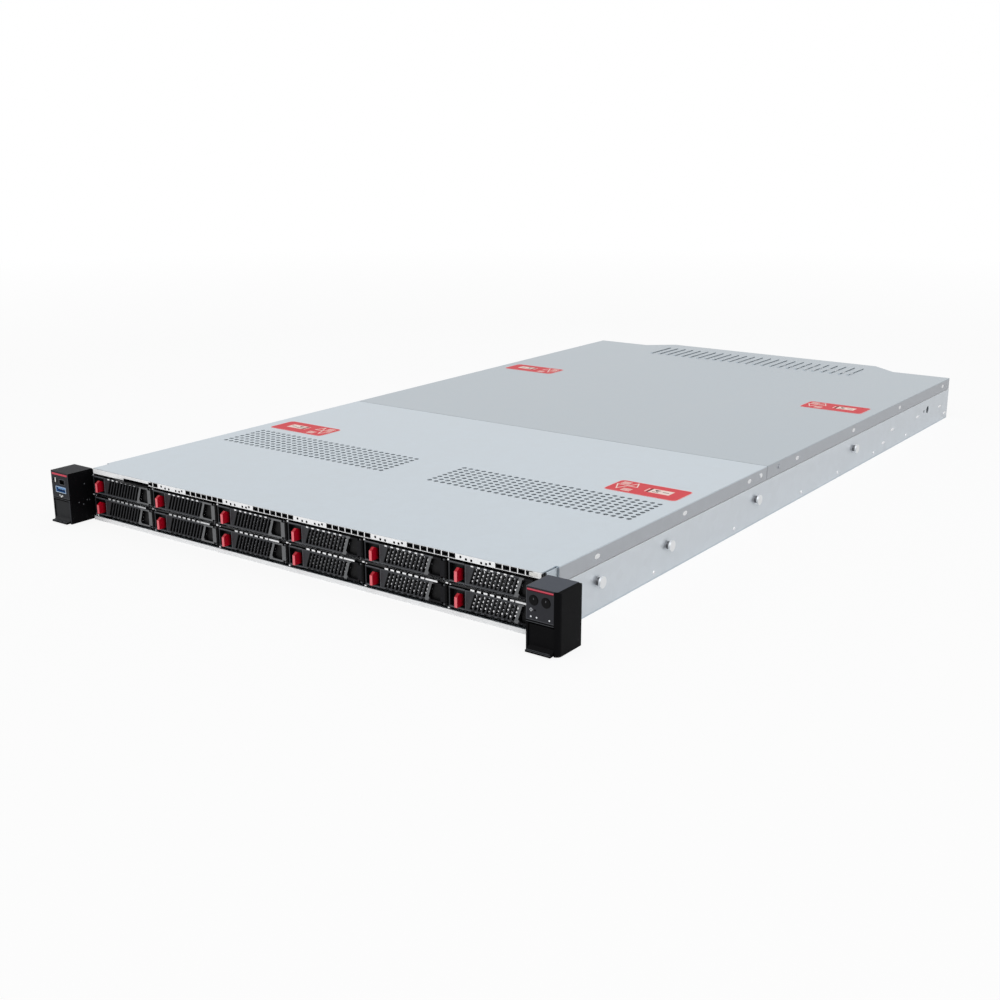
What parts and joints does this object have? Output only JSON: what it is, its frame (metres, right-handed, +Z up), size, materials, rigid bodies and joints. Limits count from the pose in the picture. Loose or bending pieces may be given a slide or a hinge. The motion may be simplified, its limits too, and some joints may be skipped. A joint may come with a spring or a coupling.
{
  "type": "rack server",
  "caption": "Low rack server with horizontal drive carriers across the front, latching ears, a fixed front cover, a lift-off rear cover and slide-out power supplies.",
  "frame": {"origin": "middle of the underside's outline box: half way between the ears' outer faces and half way from the latch lips to the rear edge", "axes": "+X to the right seen from the front, +Y from the front to the rear, +Z up; the front faces -Y"},
  "size_m": [0.4826, 0.827, 0.0438],
  "materials": {
    "galvanised_steel": "fine spangle galvanised sheet, satin",
    "cage_steel": "plain sheet steel, satin",
    "bright_steel": "bright zinc",
    "black_plastic": "satin moulded black",
    "grey_plastic": "satin moulded dark grey",
    "red_plastic": "smooth crimson",
    "carrier": "dark bezel on a plain metal tray and drive",
    "board": "green circuit board with dark sockets",
    "supply_case": "plain plated steel case"
  },
  "bodies": {
    "chassis": {"chassis_tray": "galvanised_steel", "front_cover": "galvanised_steel", "drive_cage": "cage_steel", "drive_backplane": "board", "left_ear": "black_plastic", "right_ear": "black_plastic", "fan_housings": "black_plastic", "mainboard": "board", "fasteners": "bright_steel"},
    "carrier_01": {"drive_carrier_01": "carrier"},
    "lever_01": {"carrier_lever_01": "grey_plastic"},
    "tab_01": {"release_tab_01": "red_plastic"},
    "carrier_02": {"drive_carrier_02": "carrier"},
    "lever_02": {"carrier_lever_02": "grey_plastic"},
    "tab_02": {"release_tab_02": "red_plastic"},
    "carrier_03": {"drive_carrier_03": "carrier"},
    "lever_03": {"carrier_lever_03": "grey_plastic"},
    "tab_03": {"release_tab_03": "red_plastic"},
    "carrier_04": {"drive_carrier_04": "carrier"},
    "lever_04": {"carrier_lever_04": "grey_plastic"},
    "tab_04": {"release_tab_04": "red_plastic"},
    "carrier_05": {"drive_carrier_05": "carrier"},
    "lever_05": {"carrier_lever_05": "grey_plastic"},
    "tab_05": {"release_tab_05": "red_plastic"},
    "carrier_06": {"drive_carrier_06": "carrier"},
    "lever_06": {"carrier_lever_06": "grey_plastic"},
    "tab_06": {"release_tab_06": "red_plastic"},
    "carrier_07": {"drive_carrier_07": "carrier"},
    "lever_07": {"carrier_lever_07": "grey_plastic"},
    "tab_07": {"release_tab_07": "red_plastic"},
    "carrier_08": {"drive_carrier_08": "carrier"},
    "lever_08": {"carrier_lever_08": "grey_plastic"},
    "tab_08": {"release_tab_08": "red_plastic"},
    "carrier_09": {"drive_carrier_09": "carrier"},
    "lever_09": {"carrier_lever_09": "grey_plastic"},
    "tab_09": {"release_tab_09": "red_plastic"},
    "carrier_10": {"drive_carrier_10": "carrier"},
    "lever_10": {"carrier_lever_10": "grey_plastic"},
    "tab_10": {"release_tab_10": "red_plastic"},
    "carrier_11": {"drive_carrier_11": "carrier"},
    "lever_11": {"carrier_lever_11": "grey_plastic"},
    "tab_11": {"release_tab_11": "red_plastic"},
    "carrier_12": {"drive_carrier_12": "carrier"},
    "lever_12": {"carrier_lever_12": "grey_plastic"},
    "tab_12": {"release_tab_12": "red_plastic"},
    "left_latch": {"left_ear_latch": "black_plastic"},
    "left_screw": {"left_rack_screw": "bright_steel"},
    "left_supply": {"left_power_supply": "supply_case"},
    "right_latch": {"right_ear_latch": "black_plastic"},
    "right_screw": {"right_rack_screw": "bright_steel"},
    "right_supply": {"right_power_supply": "supply_case"},
    "power_button": {"power_button": "black_plastic"},
    "id_button": {"id_button": "black_plastic"},
    "label_tab": {"label_tab": "black_plastic"},
    "rear_cover": {"rear_cover": "galvanised_steel"},
    "fan_rotor_1": {"fan_rotor_1": "black_plastic"},
    "fan_rotor_2": {"fan_rotor_2": "black_plastic"},
    "fan_rotor_3": {"fan_rotor_3": "black_plastic"},
    "fan_rotor_4": {"fan_rotor_4": "black_plastic"},
    "fan_rotor_5": {"fan_rotor_5": "black_plastic"}
  },
  "joints": [
    {"name": "carrier_01_slide", "type": "slide", "parent": "chassis", "child": "carrier_01", "axis": [0, -1, 0], "range_m": [0, 0.15]},
    {"name": "lever_01_swing", "type": "hinge", "parent": "carrier_01", "child": "lever_01", "pos_m": [-0.146, -0.3876, 0.0304], "axis": [0, 0, 1], "range_deg": [0, 65]},
    {"name": "tab_01_press", "type": "slide", "parent": "carrier_01", "child": "tab_01", "axis": [-1, 0, 0], "range_m": [0, 0.003], "stiffness_N_per_m": 300},
    {"name": "carrier_02_slide", "type": "slide", "parent": "chassis", "child": "carrier_02", "axis": [0, -1, 0], "range_m": [0, 0.15]},
    {"name": "lever_02_swing", "type": "hinge", "parent": "carrier_02", "child": "lever_02", "pos_m": [-0.0746, -0.3876, 0.0304], "axis": [0, 0, 1], "range_deg": [0, 65]},
    {"name": "tab_02_press", "type": "slide", "parent": "carrier_02", "child": "tab_02", "axis": [-1, 0, 0], "range_m": [0, 0.003], "stiffness_N_per_m": 300},
    {"name": "carrier_03_slide", "type": "slide", "parent": "chassis", "child": "carrier_03", "axis": [0, -1, 0], "range_m": [0, 0.15]},
    {"name": "lever_03_swing", "type": "hinge", "parent": "carrier_03", "child": "lever_03", "pos_m": [-0.0032, -0.3876, 0.0304], "axis": [0, 0, 1], "range_deg": [0, 65]},
    {"name": "tab_03_press", "type": "slide", "parent": "carrier_03", "child": "tab_03", "axis": [-1, 0, 0], "range_m": [0, 0.003], "stiffness_N_per_m": 300},
    {"name": "carrier_04_slide", "type": "slide", "parent": "chassis", "child": "carrier_04", "axis": [0, -1, 0], "range_m": [0, 0.15]},
    {"name": "lever_04_swing", "type": "hinge", "parent": "carrier_04", "child": "lever_04", "pos_m": [0.0682, -0.3876, 0.0304], "axis": [0, 0, 1], "range_deg": [0, 65]},
    {"name": "tab_04_press", "type": "slide", "parent": "carrier_04", "child": "tab_04", "axis": [-1, 0, 0], "range_m": [0, 0.003], "stiffness_N_per_m": 300},
    {"name": "carrier_05_slide", "type": "slide", "parent": "chassis", "child": "carrier_05", "axis": [0, -1, 0], "range_m": [0, 0.15]},
    {"name": "lever_05_swing", "type": "hinge", "parent": "carrier_05", "child": "lever_05", "pos_m": [0.1396, -0.3876, 0.0304], "axis": [0, 0, 1], "range_deg": [0, 65]},
    {"name": "tab_05_press", "type": "slide", "parent": "carrier_05", "child": "tab_05", "axis": [-1, 0, 0], "range_m": [0, 0.003], "stiffness_N_per_m": 300},
    {"name": "carrier_06_slide", "type": "slide", "parent": "chassis", "child": "carrier_06", "axis": [0, -1, 0], "range_m": [0, 0.15]},
    {"name": "lever_06_swing", "type": "hinge", "parent": "carrier_06", "child": "lever_06", "pos_m": [0.211, -0.3876, 0.0304], "axis": [0, 0, 1], "range_deg": [0, 65]},
    {"name": "tab_06_press", "type": "slide", "parent": "carrier_06", "child": "tab_06", "axis": [-1, 0, 0], "range_m": [0, 0.003], "stiffness_N_per_m": 300},
    {"name": "carrier_07_slide", "type": "slide", "parent": "chassis", "child": "carrier_07", "axis": [0, -1, 0], "range_m": [0, 0.15]},
    {"name": "lever_07_swing", "type": "hinge", "parent": "carrier_07", "child": "lever_07", "pos_m": [-0.146, -0.3876, 0.013], "axis": [0, 0, 1], "range_deg": [0, 65]},
    {"name": "tab_07_press", "type": "slide", "parent": "carrier_07", "child": "tab_07", "axis": [-1, 0, 0], "range_m": [0, 0.003], "stiffness_N_per_m": 300},
    {"name": "carrier_08_slide", "type": "slide", "parent": "chassis", "child": "carrier_08", "axis": [0, -1, 0], "range_m": [0, 0.15]},
    {"name": "lever_08_swing", "type": "hinge", "parent": "carrier_08", "child": "lever_08", "pos_m": [-0.0746, -0.3876, 0.013], "axis": [0, 0, 1], "range_deg": [0, 65]},
    {"name": "tab_08_press", "type": "slide", "parent": "carrier_08", "child": "tab_08", "axis": [-1, 0, 0], "range_m": [0, 0.003], "stiffness_N_per_m": 300},
    {"name": "carrier_09_slide", "type": "slide", "parent": "chassis", "child": "carrier_09", "axis": [0, -1, 0], "range_m": [0, 0.15]},
    {"name": "lever_09_swing", "type": "hinge", "parent": "carrier_09", "child": "lever_09", "pos_m": [-0.0032, -0.3876, 0.013], "axis": [0, 0, 1], "range_deg": [0, 65]},
    {"name": "tab_09_press", "type": "slide", "parent": "carrier_09", "child": "tab_09", "axis": [-1, 0, 0], "range_m": [0, 0.003], "stiffness_N_per_m": 300},
    {"name": "carrier_10_slide", "type": "slide", "parent": "chassis", "child": "carrier_10", "axis": [0, -1, 0], "range_m": [0, 0.15]},
    {"name": "lever_10_swing", "type": "hinge", "parent": "carrier_10", "child": "lever_10", "pos_m": [0.0682, -0.3876, 0.013], "axis": [0, 0, 1], "range_deg": [0, 65]},
    {"name": "tab_10_press", "type": "slide", "parent": "carrier_10", "child": "tab_10", "axis": [-1, 0, 0], "range_m": [0, 0.003], "stiffness_N_per_m": 300},
    {"name": "carrier_11_slide", "type": "slide", "parent": "chassis", "child": "carrier_11", "axis": [0, -1, 0], "range_m": [0, 0.15]},
    {"name": "lever_11_swing", "type": "hinge", "parent": "carrier_11", "child": "lever_11", "pos_m": [0.1396, -0.3876, 0.013], "axis": [0, 0, 1], "range_deg": [0, 65]},
    {"name": "tab_11_press", "type": "slide", "parent": "carrier_11", "child": "tab_11", "axis": [-1, 0, 0], "range_m": [0, 0.003], "stiffness_N_per_m": 300},
    {"name": "carrier_12_slide", "type": "slide", "parent": "chassis", "child": "carrier_12", "axis": [0, -1, 0], "range_m": [0, 0.15]},
    {"name": "lever_12_swing", "type": "hinge", "parent": "carrier_12", "child": "lever_12", "pos_m": [0.211, -0.3876, 0.013], "axis": [0, 0, 1], "range_deg": [0, 65]},
    {"name": "tab_12_press", "type": "slide", "parent": "carrier_12", "child": "tab_12", "axis": [-1, 0, 0], "range_m": [0, 0.003], "stiffness_N_per_m": 300},
    {"name": "left_latch_swing", "type": "hinge", "parent": "chassis", "child": "left_latch", "pos_m": [-0.22875, -0.4083, 0.0174], "axis": [-1, 0, 0], "range_deg": [0, 75]},
    {"name": "left_screw_push", "type": "slide", "parent": "chassis", "child": "left_screw", "axis": [0, 1, 0], "range_m": [0, 0.006], "stiffness_N_per_m": 150},
    {"name": "left_supply_slide", "type": "slide", "parent": "chassis", "child": "left_supply", "axis": [0, 1, 0], "range_m": [0, 0.19]},
    {"name": "right_latch_swing", "type": "hinge", "parent": "chassis", "child": "right_latch", "pos_m": [0.22875, -0.4083, 0.0174], "axis": [-1, 0, 0], "range_deg": [0, 75]},
    {"name": "right_screw_push", "type": "slide", "parent": "chassis", "child": "right_screw", "axis": [0, 1, 0], "range_m": [0, 0.006], "stiffness_N_per_m": 150},
    {"name": "right_supply_slide", "type": "slide", "parent": "chassis", "child": "right_supply", "axis": [0, 1, 0], "range_m": [0, 0.19]},
    {"name": "power_button_press", "type": "slide", "parent": "chassis", "child": "power_button", "axis": [0, 1, 0], "range_m": [0, 0.001], "stiffness_N_per_m": 400},
    {"name": "id_button_press", "type": "slide", "parent": "chassis", "child": "id_button", "axis": [0, 1, 0], "range_m": [0, 0.001], "stiffness_N_per_m": 400},
    {"name": "label_tab_pull", "type": "slide", "parent": "chassis", "child": "label_tab", "axis": [0, -1, 0], "range_m": [0, 0.055]},
    {"name": "rear_cover_lift", "type": "slide", "parent": "chassis", "child": "rear_cover", "axis": [0, 0, 1], "range_m": [0, 0.08]},
    {"name": "fan_1_spin", "type": "hinge", "parent": "chassis", "child": "fan_rotor_1", "pos_m": [-0.16, -0.0395, 0.02125], "axis": [0, 1, 0], "continuous": true},
    {"name": "fan_2_spin", "type": "hinge", "parent": "chassis", "child": "fan_rotor_2", "pos_m": [-0.08, -0.0395, 0.02125], "axis": [0, 1, 0], "continuous": true},
    {"name": "fan_3_spin", "type": "hinge", "parent": "chassis", "child": "fan_rotor_3", "pos_m": [0, -0.0395, 0.02125], "axis": [0, 1, 0], "continuous": true},
    {"name": "fan_4_spin", "type": "hinge", "parent": "chassis", "child": "fan_rotor_4", "pos_m": [0.08, -0.0395, 0.02125], "axis": [0, 1, 0], "continuous": true},
    {"name": "fan_5_spin", "type": "hinge", "parent": "chassis", "child": "fan_rotor_5", "pos_m": [0.16, -0.0395, 0.02125], "axis": [0, 1, 0], "continuous": true}
  ]
}
